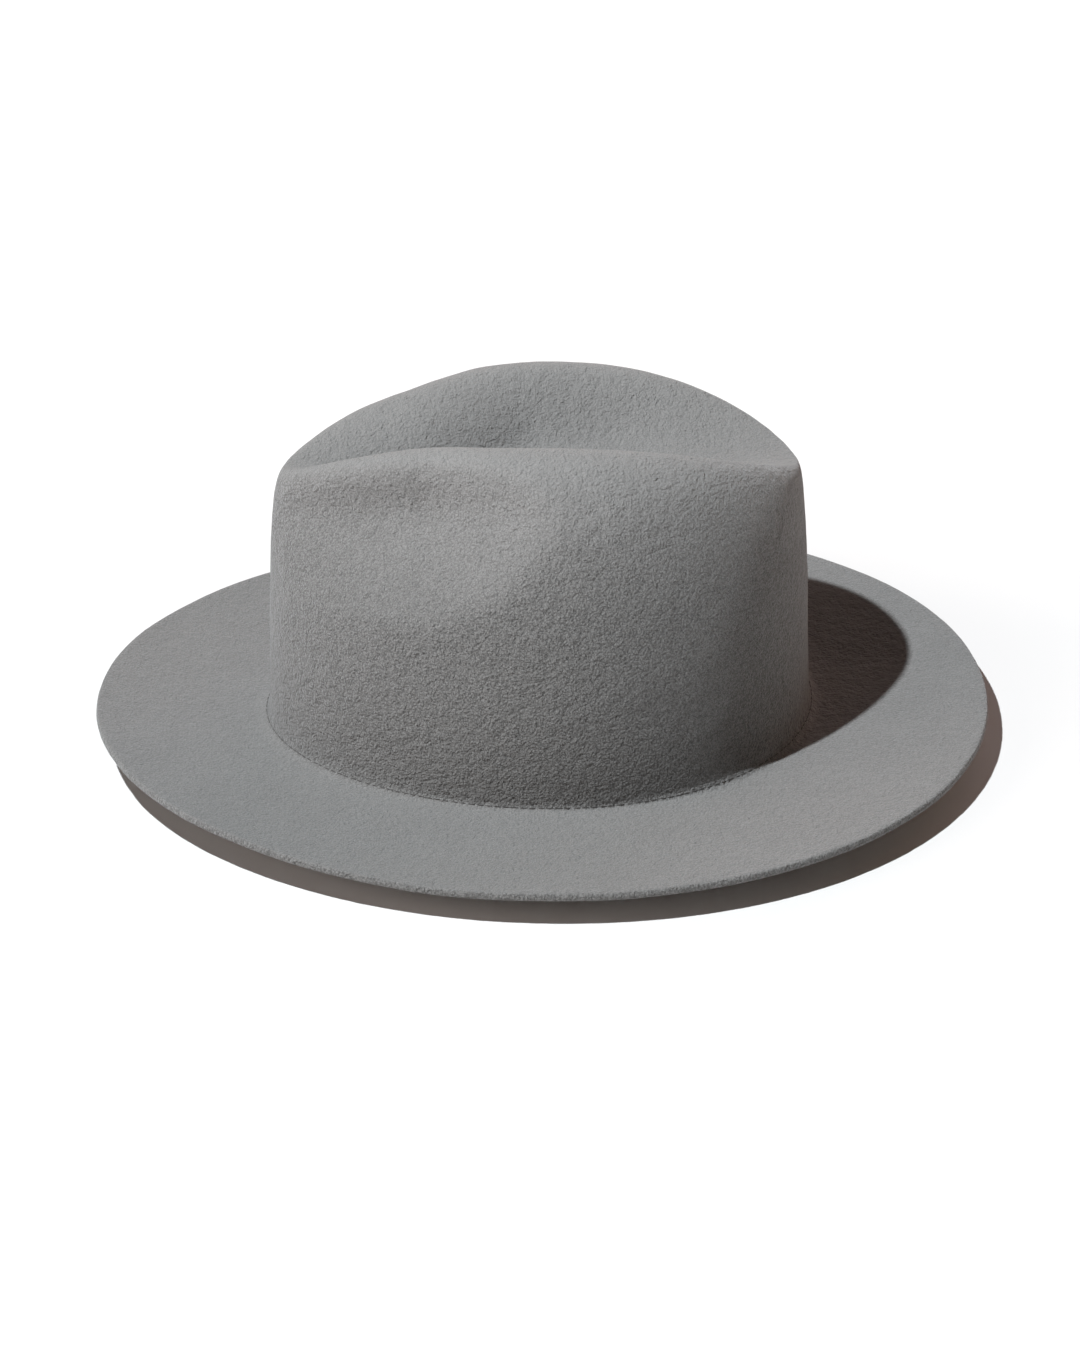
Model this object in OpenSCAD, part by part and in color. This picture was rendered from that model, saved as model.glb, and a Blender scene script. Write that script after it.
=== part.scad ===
// Wool felt fedora: a one-piece felt body with a teardrop crown, two front side
// pinches and a raw-edged brim, and a sweatband, lining and labels inside it.
//
// Frame: millimetres, +Z up, +X to the wearer's left, -Y to the front. The origin is
// on the surface that the hat stands on, below the middle of its brim.
// Angles run round the head: 0 is the wearer's left, 90 the back, 270 the front.

/* [Head opening] */
// Half the length of the crown's foot, outside the felt
foot_half_l = 103.5; // [95:0.5:115]
// Half the width of the crown's foot, outside the felt
foot_half_w = 87; // [78:0.5:96]
// How much wider the foot is behind the middle than in front of it
foot_egg = 0.105; // [0:0.005:0.15]
// How far the middle of the foot is in front of the middle of the brim
foot_forward = 1.5; // [0:0.5:4]

/* [Felt] */
// Thickness of the felt
felt_t = 2.5; // [1.5:0.1:3.5]
// Radius of the fold between crown and brim at the sides
fold_r_side = 2; // [1:0.5:4]
// Radius of the fold between crown and brim at the front and back
fold_r_end = 5; // [1:0.5:8]

/* [Brim] */
// Width of the brim, from the crown's foot to the cut edge
brim_w = 63; // [45:0.5:80]
// How much wider the brim is at the back
brim_back = 3; // [0:0.5:6]
// How far the brim's edge rises above the fold at the sides
brim_rise_side = 6; // [0:0.5:12]
// How far the brim's edge rises above the fold at the front
brim_rise_front = 11.5; // [0:0.5:16]
// How far the brim's edge rises above the fold at the back
brim_rise_back = 7; // [0:0.5:16]

/* [Crown] */
// Height of the ridge above the fold, midway along the crown
ridge_h = 118; // [105:0.5:130]
// How far the ridge falls towards its two ends
ridge_drop = 21.5; // [10:0.5:26]
// Half the difference in height between the ridge's front and back ends
ridge_tilt = 3; // [0:0.5:5]
// Half the length of the ridge
ridge_half_l = 93; // [84:0.5:100]
// Half the width of the ridge
ridge_half_w = 45; // [36:0.5:52]
// How far the middle of the ridge is behind the middle of the brim
ridge_backward = 1.5; // [0:0.5:4]
// How much wider the teardrop is at the back than at the front
ridge_egg = 0.21; // [0:0.01:0.3]
// Height of the floor of the dent above the fold
dent_h = 90.5; // [84:0.5:100]

/* [Pinches] */
// How far each side pinch is pressed in
pinch_depth = 20; // [0:0.5:22]
// Place of the pinch's deepest point along the crown, in front of the middle
pinch_y = -47; // [-60:1:-30]
// Height of the pinch's deepest point above the fold
pinch_h = 95; // [85:1:105]
// How far the pinch reaches forwards
pinch_front = 85; // [50:1:95]
// How far the pinch reaches backwards
pinch_back = 31; // [20:1:45]
// How far the pinch reaches upwards
pinch_up = 19; // [14:0.5:28]
// How far the pinch reaches downwards
pinch_down = 22; // [14:0.5:30]
// How much the pinch climbs for each millimetre backwards
pinch_slope = 0.18; // [0:0.01:0.3]

/* [Sweatband] */
// Height of the leather band
band_h = 36; // [25:1:45]
// Thickness of the leather
band_t = 1.1; // [0.6:0.1:1.6]
// Diameter of the plastic reed along the band's lower edge
reed_d = 1.6; // [1:0.1:2.4]
// How far the reed hangs clear of the brim's lower face
reed_hang = 1.5; // [0:0.5:3]
// Thickness of the tape folded round the reed
tape_t = 0.25; // [0.2:0.05:0.5]
// Diameter of the sewing thread
thread_d = 0.55; // [0.4:0.05:0.8]

/* [Lining] */
// Height of the seam between the lining's side and its tip, above the fold
seam_h = 76; // [60:1:80]
// Height of the middle of the lining's tip, above the fold
tip_h = 82; // [70:1:86]
// Thickness of the lining satin
satin_t = 0.5; // [0.3:0.1:0.8]
// Diameter of the piping in the tip's seam
piping_d = 1.8; // [1.2:0.1:2.6]

/* [Trim] */
// Width of the ribbon that the rear bow is tied from
ribbon_w = 4; // [3:0.5:6]
// Length of each of the bow's loops
bow_loop_l = 13; // [9:0.5:18]
// Width of the care label
care_w = 26; // [18:1:34]
// How far the care label stands above the sweatband
care_h = 24; // [14:1:30]
// Width of the size label
size_w = 20; // [12:1:28]
// Height of the size label
size_h = 9; // [6:0.5:12]

/* [Hidden] */

tape_r = reed_d / 2 + tape_t;
// Height of the brim's upper face at the fold: the reed tape touches the ground
fold_z = felt_t + 2 * tape_r + reed_hang;
reed_z = tape_r;
band_gap = 0.8;
band_out = felt_t + band_gap;
band_in = band_out + band_t;
band_bottom = reed_z + 0.35 * reed_d;
band_top = band_bottom + band_h;
lining_out = felt_t + 0.2;
lining_slack = 4;
lining_low = fold_z + 14;
lining_seam = fold_z + seam_h;
// Where the labels sit round the head, and the turn round the head for one mm along it
size_label_a = 68;
care_label_a = 128;
turn_per_mm = 360 / (PI * (foot_half_l + foot_half_w));
// Shape of the crown's wall: fractions of its inward run and of its height
wall_rise = 0.56;
wall_lean_side = 0.03;
wall_lean_end = 0.42;
wall_round_side = 0.65;
wall_round_end = 0.6;
valley_power = 1.5;
// Shape of the pinch: its outline, the roundness of its bottom and of its border, and
// a width greater than its depth, so that the felt can't fold over itself
pinch_power = 1.6;
pinch_round = 0.45;
pinch_soft = 0.07;
pinch_core = 25;
// Resolution: steps round the head for the felt and for the thin pieces
around = 96;
thin_around = 72;
crown_rows = 9;
wall_rows = 13;
fold_rows = 3;
brim_rows = 5;

function lerp(p, q, t) = p + (q - p) * t;
function unit(v) = v / norm(v);
// Cubic Bezier from 0 to 1 with two handles
function bezier(h1, h2, t) = 3 * h1 * t * pow(1 - t, 2) + 3 * h2 * t * t * (1 - t) + pow(t, 3);
// A value that goes from one at the sides to another at the front and back
function round_head(a, side, end) = side * pow(cos(a), 2) + end * pow(sin(a), 2);
function steps(n) = [for (i = [0 : n - 1]) 360 * i / n];
function flatten(rows) = [for (row = rows, p = row) p];

// Outline of the crown's foot, and its outward direction
function foot(a) = [foot_half_w * cos(a) * (1 + foot_egg * sin(a)), foot_half_l * sin(a) - foot_forward];
function foot_out(a) = let (
    dx = foot_half_w * (foot_egg * cos(2 * a) - sin(a)),
    dy = foot_half_l * cos(a)
  ) unit([dy, -dx]);
function fold_r(a) = round_head(a, fold_r_side, fold_r_end);

// Crest of the teardrop
function ridge(a) = let (
    s = sin(a),
    fall = ridge_drop * (0.78 * s * s + 0.22 * pow(s, 4))
  ) [
    ridge_half_w * cos(a) * (1 + ridge_egg * s),
    ridge_half_l * s + ridge_backward,
    fold_z + ridge_h - ridge_tilt * s - fall
  ];

// A ramp that levels out softly below 0
function softened(ramp) = pinch_soft * ln(1 + exp(ramp / pinch_soft));

// Pushes a point of the crown inwards where the fingers pinch it
function pinched(p) = let (
    along = p.y - pinch_y,
    up = p.z - fold_z - pinch_h - pinch_slope * along,
    along_share = abs(along) / (along > 0 ? pinch_back : pinch_front),
    up_share = abs(up) / (up > 0 ? pinch_up : pinch_down),
    reach = pow(pow(along_share, pinch_power) + pow(up_share, pinch_power), 1 / pinch_power),
    ramp = 1 + pinch_round - norm([reach, pinch_round]),
    depth = pinch_depth * softened(ramp) / softened(1)
  ) [p.x - depth * p.x / norm([p.x, pinch_core]), p.y, p.z];

// Outside of the crown's wall, from the fold (t = 0) to the ridge (t = 1)
function wall(a, t) = let (
    lean = round_head(a, wall_lean_side, wall_lean_end),
    shoulder = 1 - round_head(a, wall_round_side, wall_round_end),
    inward = bezier(lean, shoulder, t),
    up = bezier(wall_rise, 1, t),
    start = foot(a),
    crest = ridge(a)
  ) [
    lerp(start.x, crest.x, inward),
    lerp(start.y, crest.y, inward),
    lerp(fold_z + fold_r(a), crest.z, up)
  ];

// Dent in the top of the crown, from its middle (k = 0) to the ridge (k = 1)
function dent(a, k) = let (crest = ridge(a), up = (1 - cos(180 * pow(k, valley_power))) / 2)
  [crest.x * k, crest.y * k, lerp(fold_z + dent_h, crest.z, up)];

// Fold between wall and brim, from the wall (b = 90) to the brim (b = 0)
function fold(a, b) = let (r = fold_r(a), p = foot(a) + foot_out(a) * r * (1 - sin(b)))
  [p.x, p.y, fold_z + r * (1 - cos(b))];

// Upper face of the brim, from the fold (u = 0) to the cut edge (u = 1)
function brim(a, u) = let (
    edge = brim_w + brim_back * sin(a) * (1 + sin(a)) / 2,
    rise = round_head(a, brim_rise_side, sin(a) < 0 ? brim_rise_front : brim_rise_back),
    p = foot(a) + foot_out(a) * lerp(fold_r(a), edge, u)
  ) [p.x, p.y, fold_z + rise * pow(u, 1.5)];

// Point at height z and a distance d inside the outer face of the crown's wall
function wall_t(a, z, low = 0, high = 1, n = 14) = let (mid = (low + high) / 2)
  n == 0 ? mid : wall(a, mid).z < z ? wall_t(a, z, mid, high, n - 1) : wall_t(a, z, low, mid, n - 1);
function inside(a, z, d) = let (
    p = wall(a, wall_t(a, z)),
    q = [p.x, p.y] - foot_out(a) * d
  ) pinched([q.x, q.y, z]);

// Closed skin through rows of points round the head, with a point at each end
module skin(first, rows, last) {
  n = len(rows[0]);
  m = len(rows);
  points = concat([first], flatten(rows), [last]);
  faces = concat(
    [for (j = [0 : n - 1]) [0, 1 + (j + 1) % n, 1 + j]],
    [
      for (i = [0 : m - 2], j = [0 : n - 1], half = [0, 1])
      let (here = 1 + i * n, next = here + n, k = (j + 1) % n)
      half == 0 ? [here + j, here + k, next + k] : [here + j, next + k, next + j]
    ],
    [for (j = [0 : n - 1]) let (here = 1 + (m - 1) * n) [here + j, here + (j + 1) % n, 1 + m * n]]
  );
  polyhedron(points = points, faces = faces);
}

// Solid swept round the head through its sections, as a closed ring or with two ends
module sweep(sections, closed = true) {
  n = len(sections[0]);
  m = len(sections);
  spans = closed ? m - 1 : m - 2;
  sides = [
    for (j = [0 : spans], k = [0 : n - 1], half = [0, 1])
    let (here = j * n, next = ((j + 1) % m) * n, l = (k + 1) % n)
    half == 0 ? [here + k, here + l, next + l] : [here + k, next + l, next + k]
  ];
  ends = closed ? [] : [[for (k = [n - 1 : -1 : 0]) k], [for (k = [0 : n - 1]) (m - 1) * n + k]];
  polyhedron(points = flatten(sections), faces = concat(sides, ends));
}

// Section of a strip that follows the wall, from one depth to another
function strip(a, low, high, d_in, d_out) =
  [inside(a, low, d_in), inside(a, low, d_out), inside(a, high, d_out), inside(a, high, d_in)];

// Round section at a point given by its distance outside the foot and its height
function round_section(a, s, z, r, sides = 8) = [
  for (i = [0 : sides - 1])
  let (b = 360 * i / sides, p = foot(a) + foot_out(a) * (s + r * cos(b)))
  [p.x, p.y, z + r * sin(b)]
];

// One-piece felt: crown and brim, with the cut edge left raw
module felt_body() {
  angles = steps(around);
  outer = concat(
    [for (i = [1 : crown_rows]) [for (a = angles) pinched(dent(a, i / crown_rows))]],
    [for (i = [1 : wall_rows]) [for (a = angles) pinched(wall(a, 1 - i / wall_rows))]],
    [for (i = [1 : fold_rows]) [for (a = angles) fold(a, 90 * (1 - i / fold_rows))]],
    [for (i = [1 : brim_rows]) [for (a = angles) brim(a, i / brim_rows)]]
  );
  last = len(outer) - 1;
  inner = [
    for (i = [last : -1 : 0])
    [
      for (j = [0 : around - 1])
      let (
        along = outer[min(i + 1, last)][j] - outer[max(i - 1, 0)][j],
        round = outer[i][(j + 1) % around] - outer[i][(j + around - 1) % around]
      ) outer[i][j] - felt_t * unit(cross(along, round))
    ]
  ];
  top = [0, 0, fold_z + dent_h];
  color([0.52, 0.52, 0.51]) skin(top, concat(outer, inner), top - [0, 0, felt_t]);
}

// Leather band inside the head opening, butted together at the back
module sweatband() {
  gap_a = 0.15;
  color([0.16, 0.13, 0.11]) sweep([
    for (i = [0 : thin_around])
    strip(90 + gap_a + (360 - 2 * gap_a) * i / thin_around, band_bottom, band_top, band_in, band_out)
  ], closed = false);
}

// Plastic reed that keeps the band's lower edge in shape
module reed() {
  color([0.85, 0.84, 0.8]) sweep([
    for (a = steps(thin_around)) round_section(a, -felt_t - tape_r, reed_z, reed_d / 2 - 0.05)
  ]);
}

// Tape folded round the reed, with its flange up between leather and felt
module reed_tape() {
  flange_top = fold_z + 6;
  arc = [for (b = [165 : 39 : 360]) b];
  function section(a) = let (
      centre = foot(a) - foot_out(a) * (felt_t + tape_r),
      hook = [for (b = arc) [tape_r * cos(b), reed_z + tape_r * sin(b)]],
      back = [for (i = [len(arc) - 1 : -1 : 0]) [reed_d / 2 * cos(arc[i]), reed_z + reed_d / 2 * sin(arc[i])]],
      outline = concat(hook, [[tape_r, flange_top], [reed_d / 2, flange_top]], back)
    ) [for (q = outline) let (p = centre + foot_out(a) * q.x) [p.x, p.y, q.y]];
  color([0.1, 0.1, 0.1]) sweep([for (a = steps(thin_around)) section(a)]);
}

// Seam that holds the band to the felt, seen outside at the foot of the crown
module sweatband_thread() {
  r = thread_d / 2;
  color([0.3, 0.29, 0.28]) sweep([
    for (a = steps(thin_around))
    let (depth = fold_r(a) - (fold_r(a) - r) * cos(45))
    round_section(a, depth, fold_z + depth, r, 6)
  ]);
}

// Places its children against the inner face of the band at the back
module at_back(z) {
  translate([0, inside(90, z, band_in).y - 0.05, z]) children();
}

// Cross stitches over the joint in the leather
module back_seam_thread() {
  stitches = 6;
  pitch = 3.6;
  first = band_bottom + 14.5;
  slant = 28;
  r = thread_d / 2;
  color([0.3, 0.29, 0.28])
    for (i = [0 : stitches - 1])
      at_back(first + i * pitch)
        translate([0, -r, 0])
          for (side = [-1, 1])
            translate([0, side < 0 ? -thread_d : 0, 0])
              rotate([0, 90 + side * slant, 0])
                cylinder(h = 5, r = r, center = true, $fn = 24);
}

// Small flat bow tied at the foot of the joint
module rear_bow() {
  ribbon_t = 0.6;
  loop_r = ribbon_w / 2 + 0.6;
  loop_x = bow_loop_l - loop_r;
  loop_hole_r = loop_r - 1.5;
  loop_lift = 14;
  knot_d = 4.6;
  knot_t = 1.8;
  tail_l = 10;
  tail_notch = 1.5;
  tail_droop = 26;
  color([0.13, 0.12, 0.12]) at_back(band_bottom + 7.5) translate([0, -1.1, 0]) {
    rotate([90, 0, 0]) cylinder(h = knot_t, d = knot_d, center = true, $fn = 32);
    for (side = [0, 1]) mirror([side, 0, 0]) {
      rotate([90, -loop_lift, 0])
        linear_extrude(height = ribbon_t, center = true)
          difference() {
            union() {
              polygon([[1.5, -0.9], [1.5, 0.9], [loop_x, loop_r], [loop_x, -loop_r]]);
              translate([loop_x, 0]) circle(r = loop_r, $fn = 32);
            }
            translate([loop_x, 0]) circle(r = loop_hole_r, $fn = 24);
          }
      rotate([90, tail_droop, 0])
        linear_extrude(height = ribbon_t, center = true)
          polygon([
            [1.5, -1.2], [1.5, 1.2], [tail_l, ribbon_w / 2], [tail_l - tail_notch, 0], [tail_l, -ribbon_w / 2]
          ]);
    }
  }
}

// Height and depth of the lining along its rise, from behind the band to the seam
function lining_z(t) = lerp(lining_low, lining_seam, t);
function lining_d(t) = lining_out + lining_slack * pow(t, 2);

// Satin side panel of the lining
module lining_side() {
  rows = 6;
  color([0.1, 0.1, 0.11]) sweep([
    for (a = steps(thin_around))
    concat(
      [for (i = [0 : rows]) inside(a, lining_z(i / rows), lining_d(i / rows))],
      [for (i = [rows : -1 : 0]) inside(a, lining_z(i / rows), lining_d(i / rows) + satin_t)]
    )
  ]);
}

// Oval satin tip that closes the lining over the head
module lining_tip() {
  rows = 4;
  edge_d = lining_d(1) + piping_d;
  function disc(lift) = [
    for (i = [1 : rows])
    [
      for (a = steps(thin_around))
      let (k = i / rows, p = inside(a, lining_seam, edge_d))
      [p.x * k, p.y * k, fold_z + lerp(tip_h, seam_h, k * k) + lift]
    ]
  ];
  under = disc(-satin_t);
  top = [0, 0, fold_z + tip_h];
  color([0.1, 0.1, 0.11])
    skin(top, concat(disc(0), [for (i = [rows - 1 : -1 : 0]) under[i]]), top - [0, 0, satin_t]);
}

// Piping sewn into the seam round the tip
module lining_piping() {
  r = piping_d / 2 - 0.1;
  sides = 8;
  color([0.2, 0.2, 0.21]) sweep([
    for (a = steps(thin_around))
    let (centre = inside(a, lining_seam + r, lining_d(1) + piping_d / 2 + 0.1), out = foot_out(a))
    [
      for (i = [0 : sides - 1])
      let (b = 360 * i / sides)
      [centre.x + out.x * r * cos(b), centre.y + out.y * r * cos(b), centre.z + 0.3 + r * sin(b)]
    ]
  ]);
}

// Small blank label on the inner face of the band
module size_label() {
  label_t = 0.3;
  low = band_bottom + 13;
  out = band_in + 0.1;
  spans = 6;
  sweep_a = size_w * turn_per_mm;
  color([0.9, 0.9, 0.88]) sweep([
    for (i = [0 : spans])
    strip(size_label_a + sweep_a * (i / spans - 0.5), low, low + size_h, out + label_t, out)
  ], closed = false);
}

// Folded blank care label, held behind the band and lying on the lining
module care_label() {
  label_t = 0.7;
  low = band_top - 8;
  high = band_top + care_h;
  spans = 8;
  sweep_a = care_w * turn_per_mm;
  low_d = lining_d(0.3) + satin_t;
  high_d = lining_d((high - lining_low) / (lining_seam - lining_low)) + satin_t + 0.1;
  function section(a) = [
    inside(a, low, low_d + 0.1),
    inside(a, low, low_d),
    inside(a, high, high_d),
    inside(a, high, high_d + label_t),
    inside(a, band_top + 3, band_in)
  ];
  color([0.92, 0.92, 0.9]) sweep([
    for (i = [0 : spans]) section(care_label_a + sweep_a * (i / spans - 0.5))
  ], closed = false);
}

felt_body();
sweatband();
reed();
reed_tape();
sweatband_thread();
back_seam_thread();
rear_bow();
lining_side();
lining_tip();
lining_piping();
size_label();
care_label();
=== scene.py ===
"""Looks of a grey wool felt fedora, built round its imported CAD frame.

Shapes are worked out in millimetres in the CAD's frame (+Z up, +X the wearer's left, -Y the
front) and turned into metres where a mesh is made. Angles run round the head: 0 is the
wearer's left, 90 degrees the back.
"""

import math
import random

import bpy
import numpy as np
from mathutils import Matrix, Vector, noise


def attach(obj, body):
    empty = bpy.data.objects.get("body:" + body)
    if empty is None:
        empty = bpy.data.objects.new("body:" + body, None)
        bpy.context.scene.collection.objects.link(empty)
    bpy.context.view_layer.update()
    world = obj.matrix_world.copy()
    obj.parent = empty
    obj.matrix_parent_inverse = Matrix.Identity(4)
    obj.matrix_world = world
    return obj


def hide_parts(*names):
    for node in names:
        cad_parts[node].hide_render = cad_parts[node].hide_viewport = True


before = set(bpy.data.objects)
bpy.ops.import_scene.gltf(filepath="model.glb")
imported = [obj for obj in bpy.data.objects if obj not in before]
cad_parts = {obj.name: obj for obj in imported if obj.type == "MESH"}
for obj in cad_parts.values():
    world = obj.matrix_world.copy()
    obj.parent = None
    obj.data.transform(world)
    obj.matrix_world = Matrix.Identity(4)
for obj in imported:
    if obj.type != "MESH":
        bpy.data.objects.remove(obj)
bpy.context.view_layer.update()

MM = 0.001

# ---------------------------------------------------------------- driving dimensions, in mm
FOOT_HALF_L = 103.5
FOOT_HALF_W = 87.0
FOOT_EGG = 0.105
FOOT_FORWARD = 1.5
FELT_T = 2.5
FOLD_R = (2.0, 5.0)          # at the sides, at the front and back
BRIM_W = 63.0
BRIM_BACK = 3.0
BRIM_RISE_SIDE = 6.0
BRIM_RISE_FRONT = 11.5
BRIM_RISE_BACK = 7.0
RIDGE_H = 118.0
RIDGE_DROP = 21.5
RIDGE_TILT = 3.0
RIDGE_HALF_L = 93.0
RIDGE_HALF_W = 45.0
RIDGE_BACKWARD = 1.5
RIDGE_EGG = 0.21
DENT_H = 90.5
VALLEY_POWER = 1.5
PINCH_DEPTH = 20.0
PINCH_Y = -47.0
PINCH_H = 95.0
PINCH_FRONT = 85.0
PINCH_BACK = 31.0
PINCH_UP = 19.0
PINCH_DOWN = 22.0
PINCH_SLOPE = 0.18
PINCH_POWER = 1.6
PINCH_ROUND = 0.45
PINCH_SOFT = 0.07
PINCH_CORE = 25.0            # wider than the depth, so that the felt can't fold over itself
WALL_RISE = 0.56
WALL_LEAN = (0.03, 0.42)     # at the sides, at the front and back
WALL_ROUND = (0.65, 0.6)
BAND_H = 36.0
BAND_T = 1.1
REED_D = 1.6
TAPE_T = 0.25
REED_HANG = 1.5
SEAM_H = 76.0
TIP_H = 82.0
SATIN_T = 0.35
PIPING_D = 1.8
LINING_SLACK = 4.0

# How finely the felt is divided: rows in the dent, wall, fold and brim, and points round the head
DENT_ROWS = 44
WALL_ROWS = 70
FOLD_ROWS = 8
BRIM_ROWS = 36
AROUND = 288

# Painted highlight: the felt is painted a little lighter towards the crest, between these heights above the
# fold
HIGHLIGHT_LOW = 70.0
HIGHLIGHT_HIGH = 116.0

TAPE_R = REED_D / 2 + TAPE_T
FOLD_Z = FELT_T + 2 * TAPE_R + REED_HANG
BAND_OUT = FELT_T + 0.8
BAND_IN = BAND_OUT + BAND_T
BAND_BOTTOM = TAPE_R + 0.35 * REED_D
BAND_TOP = BAND_BOTTOM + BAND_H
LINING_LOW = FOLD_Z + 14
LINING_SEAM = FOLD_Z + SEAM_H
LINING_OUT = FELT_T + 0.2

BACK = math.pi / 2
MM_ROUND = 2 / (FOOT_HALF_L + FOOT_HALF_W)  # angle of about 1 mm round the foot


# ---------------------------------------------------------------- the hat's shape
def turn(n, start=0.0, sweep=2 * math.pi, ends=False):
    """n angles round the head."""
    return start + sweep * np.arange(n) / (n - 1 if ends else n)


def lerp(p, q, t):
    return p + (q - p) * t


def round_head(a, pair):
    """A value that goes from pair[0] at the sides to pair[1] at the front and back."""
    return pair[0] * np.cos(a) ** 2 + pair[1] * np.sin(a) ** 2


def bezier(h1, h2, t):
    """Eased step from 0 to 1 with two handles."""
    return 3 * h1 * t * (1 - t) ** 2 + 3 * h2 * t * t * (1 - t) + t ** 3


def foot(a):
    """Oval where the crown meets the brim, a little wider behind the middle."""
    across = FOOT_HALF_W * np.cos(a) * (1 + FOOT_EGG * np.sin(a))
    return np.stack([across, FOOT_HALF_L * np.sin(a) - FOOT_FORWARD], -1)


def foot_out(a):
    """Unit vector pointing outwards from the crown's foot."""
    dx = FOOT_HALF_W * (FOOT_EGG * np.cos(2 * a) - np.sin(a))
    dy = FOOT_HALF_L * np.cos(a)
    out = np.stack([dy, -dx], -1)
    return out / np.linalg.norm(out, axis=-1, keepdims=True)


def point(xy, z):
    """Points from their plan positions and heights."""
    return np.concatenate([xy, np.broadcast_to(z, xy.shape[:-1])[..., None]], -1)


def ridge(a):
    """Crest of the crown, which falls away to the front and back."""
    s = np.sin(a)
    fall = RIDGE_DROP * (0.78 * s ** 2 + 0.22 * s ** 4)
    xy = np.stack([RIDGE_HALF_W * np.cos(a) * (1 + RIDGE_EGG * s), RIDGE_HALF_L * s + RIDGE_BACKWARD], -1)
    return point(xy, FOLD_Z + RIDGE_H - RIDGE_TILT * s - fall)


def pinched(p):
    """Pushes points of the crown inwards where the fingers pinch it."""
    along = p[..., 1] - PINCH_Y
    up = p[..., 2] - FOLD_Z - PINCH_H - PINCH_SLOPE * along
    along = np.abs(along) / np.where(along > 0, PINCH_BACK, PINCH_FRONT)
    up = np.abs(up) / np.where(up > 0, PINCH_UP, PINCH_DOWN)
    r = (along ** PINCH_POWER + up ** PINCH_POWER) ** (1 / PINCH_POWER)
    ramp = 1 + PINCH_ROUND - np.hypot(r, PINCH_ROUND)
    depth = PINCH_DEPTH * np.logaddexp(0, ramp / PINCH_SOFT) / np.logaddexp(0, 1 / PINCH_SOFT)
    q = p.copy()
    q[..., 0] -= depth * p[..., 0] / np.hypot(p[..., 0], PINCH_CORE)
    return q


def wall(a, t):
    """Outside of the crown's wall, from the fold (t = 0) to the ridge (t = 1)."""
    inward = bezier(round_head(a, WALL_LEAN), 1 - round_head(a, WALL_ROUND), t)
    up = bezier(WALL_RISE, 1, t)
    crest = ridge(a)
    xy = lerp(foot(a), crest[..., :2], inward[..., None])
    return point(xy, lerp(FOLD_Z + round_head(a, FOLD_R), crest[..., 2], up))


def dent(a, k):
    """Dent in the top of the crown, from its middle (k = 0) to the ridge (k = 1)."""
    crest = ridge(a)
    up = (1 - math.cos(math.pi * k ** VALLEY_POWER)) / 2
    return point(crest[..., :2] * k, lerp(FOLD_Z + DENT_H, crest[..., 2], up))


def fold(a, b):
    """Fold between wall and brim, from the wall (b = 90 degrees) to the brim (b = 0)."""
    r = round_head(a, FOLD_R)
    xy = foot(a) + foot_out(a) * (r * (1 - math.sin(b)))[..., None]
    return point(xy, FOLD_Z + r * (1 - math.cos(b)))


def brim(a, u):
    """Upper face of the brim, from the fold (u = 0) to the cut edge (u = 1)."""
    edge = BRIM_W + BRIM_BACK * np.sin(a) * (1 + np.sin(a)) / 2
    s = lerp(round_head(a, FOLD_R), edge, u)
    end = np.where(np.sin(a) < 0, BRIM_RISE_FRONT, BRIM_RISE_BACK)
    rise = round_head(a, (BRIM_RISE_SIDE, end))
    return point(foot(a) + foot_out(a) * s[..., None], FOLD_Z + rise * u ** 1.5)


def inside(a, z, d):
    """Points at height z and a distance d inside the outer face of the crown's wall."""
    a, z, d = np.broadcast_arrays(a, z, d)
    low = np.zeros(a.shape)
    high = np.ones(a.shape)
    for _ in range(16):
        mid = (low + high) / 2
        below = wall(a, mid)[..., 2] < z
        low = np.where(below, mid, low)
        high = np.where(below, high, mid)
    xy = wall(a, (low + high) / 2)[..., :2] - foot_out(a) * d[..., None]
    return pinched(point(xy, z))


def ripple(points, size, seed):
    """Smooth noise from -1 to 1 at each point, with lumps of about that size."""
    flat = points.reshape(-1, 3) / size + seed
    values = [noise.noise(Vector(p)) for p in flat]
    return np.array(values).reshape(points.shape[:-1])


def grid_normals(rows):
    """Outward normals of rows of points round the head, listed from the top outwards."""
    along = np.gradient(rows, axis=0)
    around = np.roll(rows, -1, 1) - np.roll(rows, 1, 1)
    n = np.cross(along, around)
    return n / np.linalg.norm(n, axis=-1, keepdims=True)


# ---------------------------------------------------------------- meshes
def add_piece(name, points, faces, material, nodes=()):
    """Makes a mesh object from points in mm, hangs it under the root body and hides the CAD parts it stands
    in for.
    """
    mesh = bpy.data.meshes.new(name)
    mesh.from_pydata((np.asarray(points) * MM).tolist(), [], [list(map(int, f)) for f in faces])
    mesh.validate()
    mesh.update()
    mesh.polygons.foreach_set("use_smooth", [True] * len(mesh.polygons))
    mesh.materials.append(material)
    piece = bpy.data.objects.new(name, mesh)
    bpy.context.scene.collection.objects.link(piece)
    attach(piece, "root")
    if nodes:
        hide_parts(*nodes)
    return piece


def quads(m, n, closed_m, closed_n):
    """Faces of a grid of m rows of n points."""
    rows = np.arange(m if closed_m else m - 1)
    cols = np.arange(n if closed_n else n - 1)
    i, j = np.meshgrid(rows, cols, indexing="ij")
    i2, j2 = (i + 1) % m, (j + 1) % n
    return np.stack([i * n + j, i2 * n + j, i2 * n + j2, i * n + j2], -1).reshape(-1, 4)


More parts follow.
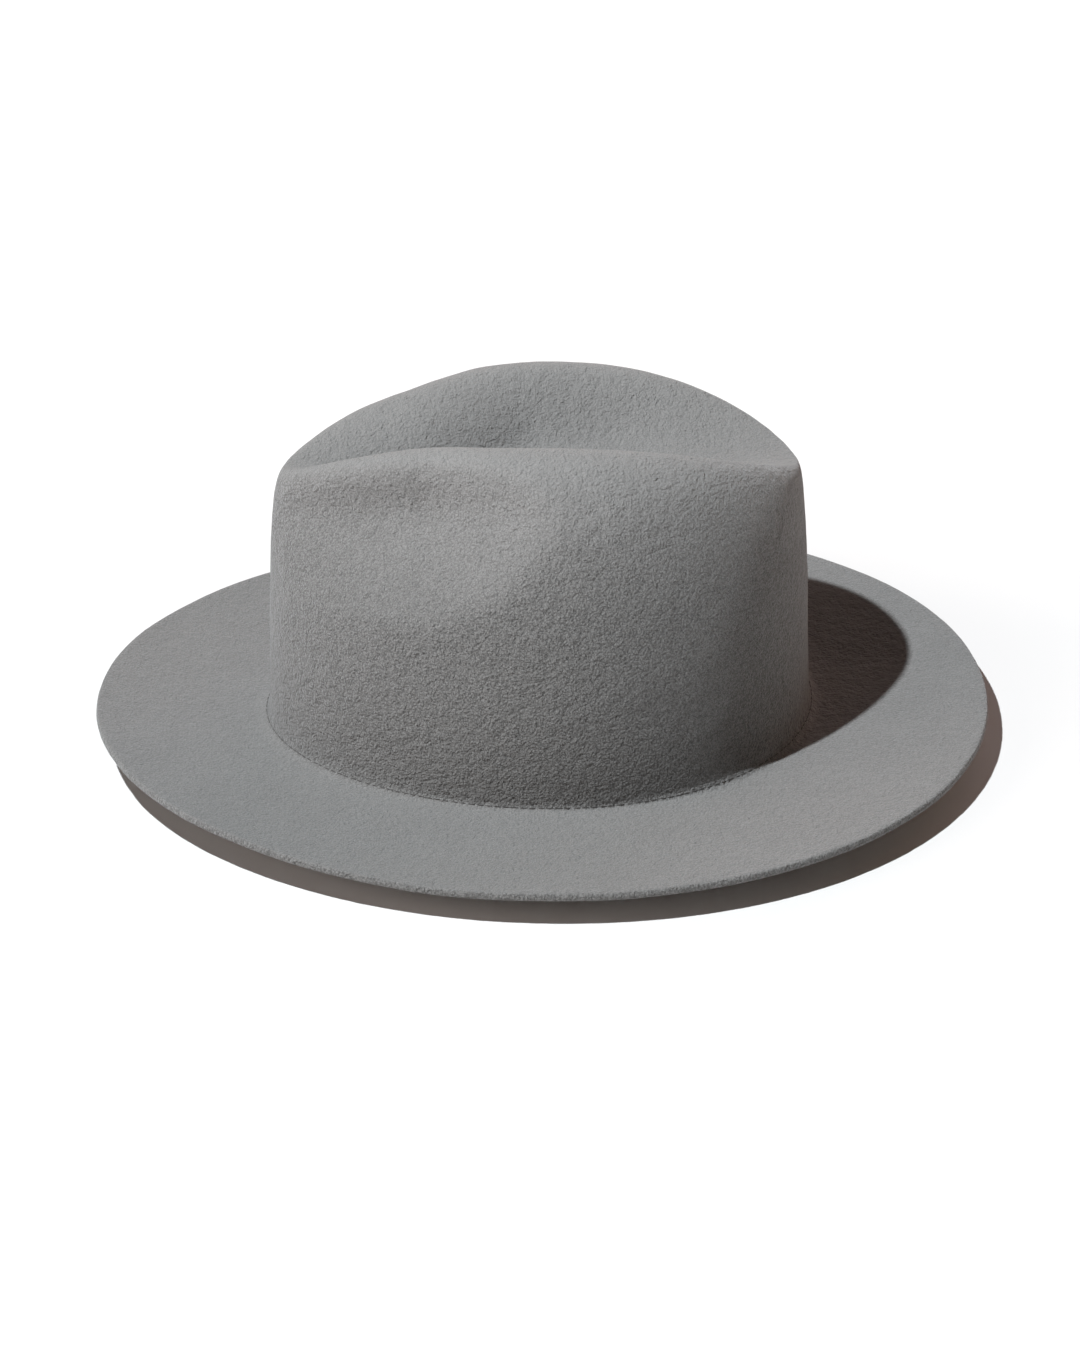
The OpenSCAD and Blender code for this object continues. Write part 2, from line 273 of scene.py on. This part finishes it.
def skin(first, rows, last):
    """Closed skin through rows of points round the head, with a point at each end."""
    m, n = rows.shape[:2]
    points = np.concatenate([[first], rows.reshape(-1, 3), [last]])
    body = quads(m, n, False, True) + 1
    j = np.arange(n)
    fan_in = np.stack([np.zeros(n, int), 1 + j, 1 + (j + 1) % n], -1)
    start = 1 + (m - 1) * n
    fan_out = np.stack([np.full(n, 1 + m * n), start + (j + 1) % n, start + j], -1)
    return points, [*fan_in, *body, *fan_out]


def sweep(sections, closed=True):
    """Solid swept through its sections, as a closed ring or with two flat ends."""
    m, n = sections.shape[:2]
    faces = [*quads(m, n, closed, True)]
    if not closed:
        faces += [list(range(n)), list(range((m - 1) * n, m * n))[::-1]]
    return sections.reshape(-1, 3), faces


def join_solids(solids):
    """Several (points, faces) as one."""
    points, faces, start = [], [], 0
    for p, f in solids:
        points.append(p)
        faces += [[i + start for i in face] for face in f]
        start += len(p)
    return np.concatenate(points), faces


def thread(path, radius):
    """A thread along a path of points, with rounded ends."""
    path = np.asarray(path, float)
    tangent = np.gradient(path, axis=0)
    tangent /= np.linalg.norm(tangent, axis=1, keepdims=True)
    off_axis = [0.123, 0.456, 0.881]  # a direction that no thread here runs in
    side = np.cross(tangent, off_axis)
    side /= np.linalg.norm(side, axis=1, keepdims=True)
    up = np.cross(tangent, side)
    b = turn(6)
    taper = np.sin(np.clip(np.linspace(0.12, 0.88, len(path)), 0, 1) * math.pi) ** 0.4
    ring = side[:, None] * np.cos(b)[None, :, None] + up[:, None] * np.sin(b)[None, :, None]
    return sweep(path[:, None] + ring * radius * taper[:, None, None], closed=False)


def ribbon(path, width_dirs, width, thickness):
    """A flat ribbon along a path, whose width lies along width_dirs."""
    path = np.asarray(path, float)
    tangent = np.gradient(path, axis=0)
    across = np.asarray(width_dirs, float)
    across /= np.linalg.norm(across, axis=1, keepdims=True)
    normal = np.cross(tangent, across)
    normal /= np.linalg.norm(normal, axis=1, keepdims=True)
    steps = np.linspace(-0.5, 0.5, 7)
    front = [path + across * width * s + normal * thickness / 2 for s in steps]
    back = [path + across * width * s - normal * thickness / 2 for s in steps[::-1]]
    return sweep(np.stack(front + back, 1), closed=False)


# ---------------------------------------------------------------- materials
class Nodes:
    """A material's node tree, with short ways to add to it."""

    def __init__(self, name, **constants):
        self.material = bpy.data.materials.new(name)
        self.material.use_nodes = True
        self.tree = self.material.node_tree
        self.shader = self.tree.nodes["Principled BSDF"]
        for socket, value in constants.items():
            self.shader.inputs[socket.replace("_", " ")].default_value = value
        self.coords = self.tree.nodes.new("ShaderNodeTexCoord").outputs["Object"]

    def link(self, source, target):
        self.tree.links.new(source, target)

    def node(self, kind, inputs=None, **settings):
        made = self.tree.nodes.new("ShaderNode" + kind)
        for key, value in settings.items():
            setattr(made, key, value)
        for key, value in (inputs or {}).items():
            socket = made.inputs[key]
            if isinstance(value, bpy.types.NodeSocket):
                self.link(value, socket)
            else:
                socket.default_value = value
        return made

    def noise(self, size_mm, detail=2.0, roughness=0.5, stretch=None):
        """Noise from 0 to 1 with lumps of about size_mm, stretched along one direction."""
        vector = self.coords
        if stretch:
            vector = self.node("Mapping", {"Vector": vector, "Scale": stretch}).outputs[0]
        return self.node("TexNoise", {
            "Vector": vector, "Scale": 1 / (size_mm * MM), "Detail": detail, "Roughness": roughness,
        }).outputs["Fac"]

    def grains(self, size_mm, warp):
        """Grains of about size_mm, 1 at their tops, pulled out of shape by a warp of 0 to 1."""
        shift = self.vector_math("SUBTRACT", {0: warp, 1: (0.5, 0.5, 0.5)})
        shift = self.vector_math("SCALE", {0: shift, "Scale": 0.9 * size_mm * MM})
        vector = self.vector_math("ADD", {0: self.coords, 1: shift})
        cells = self.cells(size_mm, "F1", vector)
        return self.math("SUBTRACT", 1.0, cells)

    def cells(self, size_mm, feature, vector):
        made = self.node("TexVoronoi", {"Vector": vector, "Scale": 1 / (size_mm * MM)}, feature=feature)
        return made.outputs["Distance"]

    def vector_math(self, operation, inputs):
        return self.node("VectorMath", inputs, operation=operation).outputs[0]

    def math(self, operation, a, b=0.0):
        return self.node("Math", {0: a, 1: b}, operation=operation).outputs[0]

    def height(self, vector):
        """The part of a vector that points up."""
        return self.node("SeparateXYZ", {"Vector": vector}).outputs["Z"]

    def span(self, value, low, high, to_low=0.0, to_high=1.0):
        """Maps low..high to to_low..to_high, clamped."""
        return self.node("MapRange", {
            "Value": value, "From Min": low, "From Max": high, "To Min": to_low, "To Max": to_high,
        }).outputs[0]

    def mix(self, factor, a, b):
        """Colour that goes from a to b as the factor goes from 0 to 1."""
        made = self.node("Mix", data_type="RGBA")
        for index, value in ((0, factor), (6, a), (7, b)):
            if isinstance(value, bpy.types.NodeSocket):
                self.link(value, made.inputs[index])
            else:
                made.inputs[index].default_value = value if index == 0 else (*value, 1)
        return made.outputs[2]

    def colour(self, socket):
        self.link(socket, self.shader.inputs["Base Color"])

    def rough(self, socket):
        self.link(socket, self.shader.inputs["Roughness"])

    def bump(self, *layers):
        """Bumps of (height, depth in mm), one on the other."""
        normal = None
        for height, depth in layers:
            inputs = {"Height": height, "Distance": depth * MM, "Strength": 1.0}
            if normal is not None:
                inputs["Normal"] = normal
            normal = self.node("Bump", inputs).outputs[0]
        self.link(normal, self.shader.inputs["Normal"])


def make_felt():
    m = Nodes("wool_felt", Roughness=0.95, Specular_IOR_Level=0.1, Sheen_Weight=0.3, Sheen_Roughness=0.5)
    m.shader.inputs["Sheen Tint"].default_value = (0.96, 0.98, 1.0, 1)
    # Grains of matted wool: uneven domes, with finer ones among them
    pull = m.node("TexNoise", {"Vector": m.coords, "Scale": 1 / (0.8 * MM), "Detail": 1.0})
    warp = pull.outputs["Color"]
    pebbles = m.grains(1.15, warp)
    small = m.grains(0.7, warp)
    waves = m.noise(3.6, detail=1.5)
    fine = m.noise(0.4, detail=1.0, roughness=0.6)
    blotches = m.noise(22, detail=4, roughness=0.6)
    tone = m.mix(m.span(blotches, 0.35, 0.65), (0.182, 0.182, 0.18), (0.2, 0.2, 0.198))
    # Painted shade: the gaps between the grains are painted darker, most on the steep walls, where the lamp
    # grazes the felt and leaves its pits in shade
    facing_up = m.math("ABSOLUTE", m.height(m.node("NewGeometry").outputs["Normal"]))
    rough = m.span(facing_up, 0.85, 0.4, 0.42, 0.95)
    tone = m.mix(m.math("MULTIPLY", m.span(small, 0.75, 0.3), rough), tone, (0.07, 0.07, 0.069))
    tone = m.mix(m.math("MULTIPLY", m.span(fine, 0.3, 0.7), 0.45), tone, (0.31, 0.31, 0.307))
    # Painted highlight: the crest is painted lighter, where the lamp from above lights the top of the felt
    # more
    crest = m.span(m.height(m.coords), (FOLD_Z + HIGHLIGHT_LOW) * MM, (FOLD_Z + HIGHLIGHT_HIGH) * MM)
    m.colour(m.mix(m.math("MULTIPLY", crest, 0.3), tone, (0.4, 0.4, 0.398)))
    m.bump((waves, 0.9), (pebbles, 0.4), (small, 0.26), (fine, 0.12))
    return m.material


def make_thread():
    m = Nodes("sewing_thread", Roughness=0.7, Specular_IOR_Level=0.3, Sheen_Weight=0.2)
    twist = m.noise(0.3, detail=1, stretch=(1, 1, 0.5))
    m.colour(m.mix(twist, (0.03, 0.029, 0.028), (0.09, 0.087, 0.084)))
    m.bump((twist, 0.08))
    return m.material


def make_leather():
    m = Nodes("sweatband_leather", Specular_IOR_Level=0.45)
    grain = m.span(m.cells(0.9, "DISTANCE_TO_EDGE", m.coords), 0.0, 0.14)
    wear = m.noise(18, detail=4)
    pores = m.noise(0.5, detail=2)
    tone = m.mix(m.span(wear, 0.3, 0.7), (0.03, 0.021, 0.016), (0.055, 0.038, 0.028))
    m.colour(m.mix(m.math("MULTIPLY", m.span(grain, 0, 1, 1, 0), 0.5), tone, (0.012, 0.009, 0.007)))
    m.rough(m.span(wear, 0.3, 0.7, 0.42, 0.58))
    m.bump((grain, 0.06), (pores, 0.03))
    return m.material


def make_tape(name, dark, light, rib_mm):
    """Woven tape or ribbon with fine ribs."""
    m = Nodes(name, Roughness=0.75, Specular_IOR_Level=0.3, Sheen_Weight=0.25)
    bands = {"Vector": m.coords, "Scale": 1 / (rib_mm * MM) / 3.2, "Distortion": 0.4}
    ribs = m.node("TexWave", bands, bands_direction="Z").outputs["Fac"]
    weave = m.noise(0.4, detail=2)
    m.colour(m.mix(m.math("MULTIPLY", ribs, m.span(weave, 0.2, 0.8, 0.6, 1)), dark, light))
    m.bump((ribs, 0.08), (weave, 0.05))
    return m.material


def make_satin():
    m = Nodes("lining_satin", Specular_IOR_Level=0.5, Sheen_Weight=0.3, Sheen_Roughness=0.3)
    m.shader.inputs["Anisotropic"].default_value = 0.5
    warp = m.noise(0.25, detail=2, stretch=(1, 1, 0.12))
    slub = m.noise(7, detail=3, stretch=(1, 1, 0.2))
    m.colour(m.mix(m.span(slub, 0.3, 0.7), (0.05, 0.05, 0.055), (0.072, 0.072, 0.078)))
    m.rough(m.span(warp, 0.3, 0.7, 0.3, 0.42))
    m.bump((warp, 0.03), (slub, 0.08))
    return m.material


def make_label():
    m = Nodes("label_cloth", Roughness=0.6, Specular_IOR_Level=0.35, Sheen_Weight=0.2)
    weave = m.noise(0.3, detail=2, stretch=(1, 1, 0.5))
    m.colour(m.mix(weave, (0.68, 0.68, 0.65), (0.82, 0.82, 0.79)))
    m.bump((weave, 0.05))
    return m.material


def make_plastic():
    m = Nodes("reed_plastic", Specular_IOR_Level=0.45)
    scuffs = m.noise(1.5, detail=4)
    m.colour(m.mix(scuffs, (0.66, 0.65, 0.6), (0.74, 0.73, 0.69)))
    m.rough(m.span(scuffs, 0.3, 0.7, 0.4, 0.6))
    m.bump((scuffs, 0.02))
    return m.material


def make_floor_paper():
    m = Nodes("studio_paper", Roughness=0.9, Specular_IOR_Level=0.2)
    m.colour(m.mix(m.noise(60, detail=2), (0.77, 0.766, 0.762), (0.79, 0.786, 0.782)))
    # Far from the hat the paper glows a little, so that it stays white to its edge
    away = m.node("VectorMath", {0: m.coords}, operation="LENGTH").outputs["Value"]
    glow = m.math("ADD", m.span(away, 0.17, 0.3, 0, 0.16), m.span(away, 0.3, 1.8, 0, 0.45))
    m.shader.inputs["Emission Color"].default_value = (1, 1, 1, 1)
    m.link(glow, m.shader.inputs["Emission Strength"])
    return m.material


# ---------------------------------------------------------------- the felt
def felt_rows(a):
    """Outer face of the felt: dent, wall, fold and brim, from the middle outwards."""
    crown = [dent(a, (i + 1) / DENT_ROWS) for i in range(DENT_ROWS)]
    crown += [wall(a, 1 - (i + 1) / WALL_ROWS) for i in range(WALL_ROWS)]
    crown = [pinched(row) for row in crown]
    folds = [fold(a, math.radians(90) * (1 - (i + 1) / FOLD_ROWS)) for i in range(FOLD_ROWS)]
    brims = [brim(a, (i + 1) / BRIM_ROWS) for i in range(BRIM_ROWS)]
    return np.stack(crown + folds + brims), len(crown)


def hand_blocked(rows, crown_rows):
    """Soft unevenness that steaming and shaping by hand leave in the felt."""
    normals = grid_normals(rows)
    from_fold = np.abs(np.arange(len(rows)) - crown_rows - FOLD_ROWS / 2)[:, None]
    away = np.clip(from_fold / 12, 0, 1)
    crown_lumps = 0.5 * ripple(rows, 38, 3.1) + 0.25 * ripple(rows, 17, 8.4)
    brim_lumps = 1.1 * ripple(rows, 80, 5.7) + 0.35 * ripple(rows, 26, 1.9)
    on_brim = (np.arange(len(rows)) > crown_rows)[:, None]
    lumps = np.where(on_brim, brim_lumps, crown_lumps) * away
    lumps += np.where(on_brim, 0.05, 0.1) * ripple(rows, 5, 7.7)
    return rows + normals * lumps[..., None]


def make_felt_body(material):
    a = turn(AROUND)
    rows, crown_rows = felt_rows(a)
    rows = hand_blocked(rows, crown_rows)
    normals = grid_normals(rows)
    under = rows - normals * FELT_T
    out = point(foot_out(a), np.zeros(len(a)))
    edge = []  # the cut edge bulges a little, with fibres pulled unevenly
    for s in (0.06, 0.25, 0.5, 0.75, 0.94):
        bulge = 0.45 * math.sin(math.pi * s) ** 0.5
        row = lerp(rows[-1], under[-1], s)
        edge.append(row + out * (bulge + 0.16 * ripple(row, 3.5, 11 * s))[:, None])
    inner = under[::-1][::2]
    middle = np.array([0, 0, FOLD_Z + DENT_H])
    points, faces = skin(middle, np.concatenate([rows, edge, inner]), middle - [0, 0, FELT_T])
    return add_piece("felt_body_shape", points, faces, material, ["felt_body"])


def fold_stitches(material):
    """The sweatband's stitches, where they show along the fold outside."""
    rng = random.Random(41)
    pitch = 3.1
    angles = turn(2881, ends=True)
    steps = np.linalg.norm(np.diff(foot(angles), axis=0), axis=1)
    length = np.concatenate([[0], np.cumsum(steps)])
    count = round(length[-1] / pitch)
    slant = math.radians(36)  # angle round the fold at which the seam shows
    solids = []
    for i in range(count):
        centre = (i + rng.uniform(-0.1, 0.1)) * length[-1] / count
        reach = rng.uniform(0.95, 1.4)
        at = np.interp((centre + np.linspace(-reach, reach, 6)) % length[-1], length, angles)
        r = round_head(at, FOLD_R)
        sunk = r - 0.08 + rng.uniform(-0.05, 0.05) - 0.1 * np.sin(np.linspace(0, math.pi, 6))
        xy = foot(at) + foot_out(at) * (r - sunk * math.cos(slant))[:, None]
        solids.append(thread(point(xy, FOLD_Z + r - sunk * math.sin(slant)), 0.16))
    points, faces = join_solids(solids)
    return add_piece("fold_stitches", points, faces, material, ["sweatband_thread"])


# ---------------------------------------------------------------- inside the head opening
def make_sweatband(material):
    a = turn(361, BACK + 0.0035, 2 * math.pi - 0.007, ends=True)
    heights = np.linspace(0, 1, 15)
    lean = 0.5 * np.sin(3 * a) + 0.35 * np.sin(7 * a + 1)  # -0.85 to 0.85
    faces_in, faces_out = [], []
    for h in heights:
        z = lerp(BAND_BOTTOM, BAND_TOP, h) + (0.35 * np.sin(5 * a + 2) if h == 1 else 0)
        slack = (0.25 + 0.5 * (lean + 0.85)) * h ** 2
        thin = 0.35 if h in (0, 1) else 0.0
        faces_in.append(inside(a, z, BAND_IN + slack - thin))
        faces_out.append(inside(a, z, BAND_OUT + slack + thin))
    sections = np.stack(faces_in + faces_out[::-1], 1)
    points, faces = sweep(sections, closed=False)
    return add_piece("sweatband_leather", points, faces, material, ["sweatband"])


def make_reed(material):
    a, b = turn(360), turn(12)
    r = REED_D / 2 - 0.05
    xy = foot(a)[:, None] + foot_out(a)[:, None] * (-FELT_T - TAPE_R + r * np.cos(b))[None, :, None]
    points, faces = sweep(point(xy, (TAPE_R + r * np.sin(b))[None, :]))
    return add_piece("reed_core", points, faces, material, ["reed"])


def make_reed_tape(material):
    """Tape that wraps the reed from below, with its flange standing up behind the leather."""
    a = turn(360)
    b = np.radians(np.linspace(165, 360, 12))
    hook = np.stack([TAPE_R * np.cos(b), TAPE_R + TAPE_R * np.sin(b)], -1)
    back = np.stack([REED_D / 2 * np.cos(b[::-1]), TAPE_R + REED_D / 2 * np.sin(b[::-1])], -1)
    flange = np.array([[TAPE_R, FOLD_Z + 6], [REED_D / 2, FOLD_Z + 6]])
    outline = np.concatenate([hook, flange, back])
    centre = foot(a) - foot_out(a) * (FELT_T + TAPE_R)
    xy = centre[:, None] + foot_out(a)[:, None] * outline[None, :, :1]
    sections = point(xy, outline[None, :, 1])
    points, faces = sweep(sections)
    return add_piece("reed_tape_cloth", points, faces, material, ["reed_tape"])


def band_stitches(material):
    """Stitches that join the leather to the reed tape, seen on the inner face of the band."""
    rng = random.Random(17)
    count = 210
    solids = []
    for i in range(count):
        centre = BACK + 2 * math.pi * (i + 0.5) / count
        at = centre + np.linspace(-0.0095, 0.0095, 5) * rng.uniform(0.85, 1.0)
        lift = 0.08 + 0.1 * np.sin(np.linspace(0, math.pi, 5))
        solids.append(thread(inside(at, BAND_BOTTOM + 2.2, BAND_IN + lift - 0.05), 0.18))
    points, faces = join_solids(solids)
    return add_piece("band_lower_stitches", points, faces, material)


def at_back(points, z):
    """Local (left, up, towards the head) points placed on the band's inner face at the back."""
    face = inside(np.array(BACK), np.array(z), np.array(BAND_IN))[1]
    p = np.asarray(points, float)
    return np.stack([p[:, 0], face - p[:, 2], z + p[:, 1]], -1)


def back_seam(material):
    """Cross stitches over the joint in the leather."""
    solids = []
    for i in range(7):
        z = BAND_BOTTOM + 13.5 + 3.1 * i
        for side in (-1, 1):
            t = np.linspace(-1, 1, 7)
            bow = 0.14 + 0.16 * np.cos(t * math.pi / 2) + (0.2 if side > 0 else 0)
            local = np.stack([2.0 * t, 1.3 * side * t, bow], -1)
            solids.append(thread(at_back(local, z), 0.2))
    points, faces = join_solids(solids)
    return add_piece("back_seam_stitches", points, faces, material, ["back_seam_thread"])


def rear_bow(material):
    """Small ribbon bow: two loops, two tails and the knot round them."""
    solids = []
    z = BAND_BOTTOM + 8.0
    width, thickness = 4.0, 0.3
    for side in (-1, 1):
        # The loop, narrow at the knot and full width at its far end
        t = np.linspace(0, 1, 40)
        out = np.sin(math.pi * t)
        depth = 0.9 - 0.85 * np.sin(2 * math.pi * t) * out ** 0.5 + 0.8 * out
        path = np.stack([side * (0.6 + 12.0 * out ** 0.8), -1.6 * out ** 2, depth], -1)
        widths = np.stack([0.12 * side * out, np.ones(40), np.zeros(40)], -1)
        narrowing = np.stack([np.ones(40), 0.45 + 0.55 * out ** 0.6, np.ones(40)], -1)
        points, faces = ribbon(path, widths, width, thickness)
        centre = path[:, None]
        local = centre + (points.reshape(40, -1, 3) - centre) * narrowing[:, None]
        solids.append((at_back(local.reshape(-1, 3), z), faces))
        # The tail
        t = np.linspace(0, 1, 20)
        path = np.stack([side * (0.8 + 8.5 * t), -1.0 - 5.2 * t ** 1.2, 0.6 + 0.5 * np.sin(2.6 * t)], -1)
        widths = np.stack([side * (0.45 + 0.2 * t), np.ones(20), 0.1 * t], -1)
        points, faces = ribbon(path, widths, width * 0.85, thickness)
        solids.append((at_back(points, z), faces))
    # The knot, in three folds side by side
    b = turn(28)
    for s0, s1, puff in ((-1.7, -0.55, 1.0), (-0.6, 0.6, 1.12), (0.55, 1.7, 1.0)):
        lanes = np.linspace(s0, s1, 5)
        crown = np.cos(np.linspace(-1.2, 1.2, 5)) * 0.35
        outer = np.stack([
            np.stack([np.full(28, x), (2.3 * puff + c) * np.sin(b), 1.5 + (1.25 * puff + c) * np.cos(b)], -1)
            for x, c in zip(lanes, crown)
        ], 1)
        ring = np.concatenate([outer, outer[:, ::-1] * [1, 0.8, 0.8] + [0, 0, 0.3]], 1)
        points, faces = sweep(ring)
        solids.append((at_back(points, z), faces))
    points, faces = join_solids(solids)
    return add_piece("rear_bow_ribbon", points, faces, material, ["rear_bow"])


def gathers(a, seed):
    """Uneven gathers round the head, from 0 in the hollows to 1 on the folds."""
    warp = a + 0.03 * np.sin(7 * a + seed) + 0.02 * np.sin(13 * a + 2 * seed)
    wave = 0.5 + 0.5 * np.sin(58 * warp)
    strength = 0.72 + 0.28 * np.sin(9 * a + 3 * seed)
    return wave ** 1.4 * strength


def lining_depth(t):
    """How far inside the felt's outer face the side panel hangs, from its lower edge to its seam."""
    return LINING_OUT + LINING_SLACK * t ** 2


def make_lining_side(material):
    a = turn(864)
    heights = np.linspace(0, 1, 22)
    front, back = [], []
    for t in heights:
        z = lerp(LINING_LOW, LINING_SEAM, t)
        above = np.clip((z - BAND_TOP) / 10, 0, 1)
        drift = 0.05 * math.sin(4 * t)
        sewn = 1 - 0.75 * np.clip((t - 0.8) / 0.2, 0, 1) ** 2  # the seam flattens the gathers
        folds = (0.5 + 1.5 * t) * above * sewn * gathers(a + drift, 1.7)
        sag = 0.9 * above * np.sin(math.pi * t)
        d = lining_depth(t) + folds + sag
        front.append(inside(a, z, d + SATIN_T))
        back.append(inside(a, z, d))
    points, faces = sweep(np.stack(front + back[::-1], 1))
    return add_piece("lining_side_satin", points, faces, material, ["lining_side"])


def make_lining_tip(material):
    a = turn(576)
    rows = []
    edge = inside(a, LINING_SEAM, lining_depth(1) + PIPING_D)
    for i in range(1, 25):
        k = i / 24
        lift = lerp(TIP_H, SEAM_H, k * k) + FOLD_Z
        pucker = 0.9 * k ** 10 * gathers(a, 4.2) - 0.4 * math.sin(3 * k)
        row = edge * [k, k, 1]
        row[:, 2] = lift - pucker + 0.35 * ripple(row, 30, 6.6)
        rows.append(row)
    top = np.stack(rows)
    under = top - [0, 0, SATIN_T]
    middle = np.array([0, 0, FOLD_Z + TIP_H])
    points, faces = skin(middle, np.concatenate([top, under[::-1]]), middle - [0, 0, SATIN_T])
    return add_piece("lining_tip_satin", points, faces, material, ["lining_tip"])


def make_piping(material):
    a = turn(720)
    b = turn(10)
    r = (PIPING_D / 2 - 0.1) * (1 + 0.05 * np.sin(150 * a[:, None] + b[None, :]))
    centre = inside(a, LINING_SEAM, lining_depth(1) + PIPING_D / 2 + 0.9)
    xy = centre[:, None, :2] + foot_out(a)[:, None] * (r * np.cos(b))[..., None]
    sections = point(xy, centre[:, None, 2] - 0.5 + r * np.sin(b))
    points, faces = sweep(sections)
    return add_piece("lining_piping_cord", points, faces, material, ["lining_piping"])


def make_size_label(material):
    a = math.radians(68) + np.linspace(-10, 10, 25) * MM_ROUND
    low = BAND_BOTTOM + 13
    heights = np.linspace(0, 9, 9)
    curl = 0.35 * (np.abs(np.linspace(-1, 1, 25)) ** 4)
    front = [inside(a, low + h, BAND_IN + 0.75 + curl) for h in heights]
    back = [inside(a, low + h, BAND_IN + 0.45 + curl) for h in heights]
    points, faces = sweep(np.stack(front + back[::-1], 1), closed=False)
    return add_piece("size_label_card", points, faces, material, ["size_label"])


def make_care_label(material):
    """A label folded at its free end, with both ends held behind the band."""
    a = math.radians(128) + np.linspace(-13, 13, 27) * MM_ROUND
    low, high = BAND_TOP - 6, BAND_TOP + 22
    t = np.linspace(0, 1, 20)
    # It comes up behind the leather and then leans in over the gathers
    near = BAND_OUT + 0.6 * np.minimum(t, 0.22) + 7.3 * np.clip(t - 0.22, 0, 1)
    path_z = np.concatenate([lerp(low, high, t), [high + 0.6], lerp(high, low, t)])
    path_d = np.concatenate([near, [near[-1] + 0.55], near[::-1] + 1.1 - 0.8 * (1 - t[::-1]) ** 0.6])
    normal_z = -np.gradient(path_d)
    normal_d = np.gradient(path_z)
    size = np.hypot(normal_z, normal_d)
    half = 0.14
    out_z, out_d = path_z + half * normal_z / size, path_d + half * normal_d / size
    in_z, in_d = path_z - half * normal_z / size, path_d - half * normal_d / size
    loop_z = np.concatenate([out_z, in_z[::-1]])
    loop_d = np.concatenate([out_d, in_d[::-1]])
    free = np.clip((loop_z - BAND_TOP) / (high - BAND_TOP), 0, 1)
    wave = 0.5 * np.sin(np.linspace(0, 5, 27))[:, None] * free[None, :]
    sections = inside(a[:, None], loop_z[None, :], loop_d[None, :] + wave)
    points, faces = sweep(sections, closed=False)
    return add_piece("care_label_cloth", points, faces, material, ["care_label"])


# ---------------------------------------------------------------- the stage
def aim(thing, target, roll=0.0):
    towards = Vector(target) - thing.location
    thing.rotation_euler = towards.to_track_quat("-Z", "Y").to_euler()
    thing.rotation_euler.rotate_axis("Z", roll)


def direction(azimuth, elevation):
    """Unit vector towards something seen from the hat: azimuth 0 is its front, 90 its left."""
    a, e = math.radians(azimuth), math.radians(elevation)
    return Vector((math.sin(a) * math.cos(e), -math.cos(a) * math.cos(e), math.sin(e)))


def make_camera():
    centre = Vector((0, 0, FOLD_Z * MM))
    camera = bpy.data.objects.new("camera", bpy.data.cameras.new("camera"))
    bpy.context.scene.collection.objects.link(camera)
    camera.location = centre + direction(83.9, 27.7) * 0.815
    aim(camera, (0.0, -0.0012, 0.0148), roll=math.radians(-0.94))
    camera.data.lens = 56.3
    camera.data.sensor_width = 36.0
    camera.data.sensor_fit = "AUTO"
    bpy.context.scene.camera = camera


def add_light(kind, name, azimuth, elevation, away, power, colour):
    light = bpy.data.lights.new(name, kind)
    light.energy = power
    light.color = colour
    lamp = bpy.data.objects.new(name, light)
    bpy.context.scene.collection.objects.link(lamp)
    lamp.location = direction(azimuth, elevation) * away
    return lamp


def add_fill(name, azimuth, elevation, power, colour):
    """Wide soft light from one direction."""
    lamp = add_light("SUN", name, azimuth, elevation, 2, power, colour)
    lamp.data.angle = math.radians(45)
    aim(lamp, (0, 0, 0))


def add_key(azimuth, elevation, away, power, colour):
    """Small lamp that is as bright on the far side of the table as on the near side."""
    lamp = add_light("POINT", "key", azimuth, elevation, away, power, colour)
    lamp.location.z += 0.066
    lamp.data.shadow_soft_size = 0.014
    lamp.data.use_nodes = True
    tree = lamp.data.node_tree
    falloff = tree.nodes.new("ShaderNodeLightFalloff")
    falloff.inputs["Strength"].default_value = 1.0
    tree.links.new(falloff.outputs["Constant"], tree.nodes["Emission"].inputs["Strength"])


def make_stage():
    half = 3.0  # half the width of the paper, in metres
    corners = [(-half, -half, 0), (half, -half, 0), (half, half, 0), (-half, half, 0)]
    mesh = bpy.data.meshes.new("floor")
    mesh.from_pydata(corners, [], [(0, 1, 2, 3)])
    mesh.materials.append(make_floor_paper())
    floor = bpy.data.objects.new("floor", mesh)
    bpy.context.scene.collection.objects.link(floor)
    world = bpy.data.worlds.new("studio")
    world.use_nodes = True
    # White behind the floor, with no light of its own
    tree = world.node_tree
    sky = tree.nodes["Background"]
    sky.inputs["Color"].default_value = (1, 1, 1, 1)
    path = tree.nodes.new("ShaderNodeLightPath")
    tree.links.new(path.outputs["Is Camera Ray"], sky.inputs["Strength"])
    bpy.context.scene.world = world
    add_key(32, 60.7, 1.0, 53.0, (0.955, 1.0, 1.025))
    add_fill("low_fill", 8, 14, 1.2, (1.0, 0.81, 0.72))
    add_fill("far_fill", 240, 20, 0.79, (1.0, 0.78, 0.78))
    add_fill("back_fill", 210, 12, 0.48, (1.0, 0.6, 0.36))
    add_fill("near_fill", 120, 20, 0.18, (1.0, 0.77, 0.63))
    bpy.context.scene.view_settings.view_transform = "Standard"


# ---------------------------------------------------------------- everything
make_camera()
make_stage()

felt = make_felt()
thread_material = make_thread()
satin = make_satin()
label = make_label()

make_felt_body(felt)
fold_stitches(thread_material)
make_sweatband(make_leather())
make_reed(make_plastic())
make_reed_tape(make_tape("reed_tape", (0.02, 0.02, 0.02), (0.05, 0.05, 0.05), 0.5))
band_stitches(thread_material)
back_seam(thread_material)
rear_bow(make_tape("bow_ribbon", (0.018, 0.017, 0.017), (0.045, 0.043, 0.043), 0.4))
side = make_lining_side(satin)
tip = make_lining_tip(satin)
make_piping(satin)
make_size_label(label)
care = make_care_label(label)
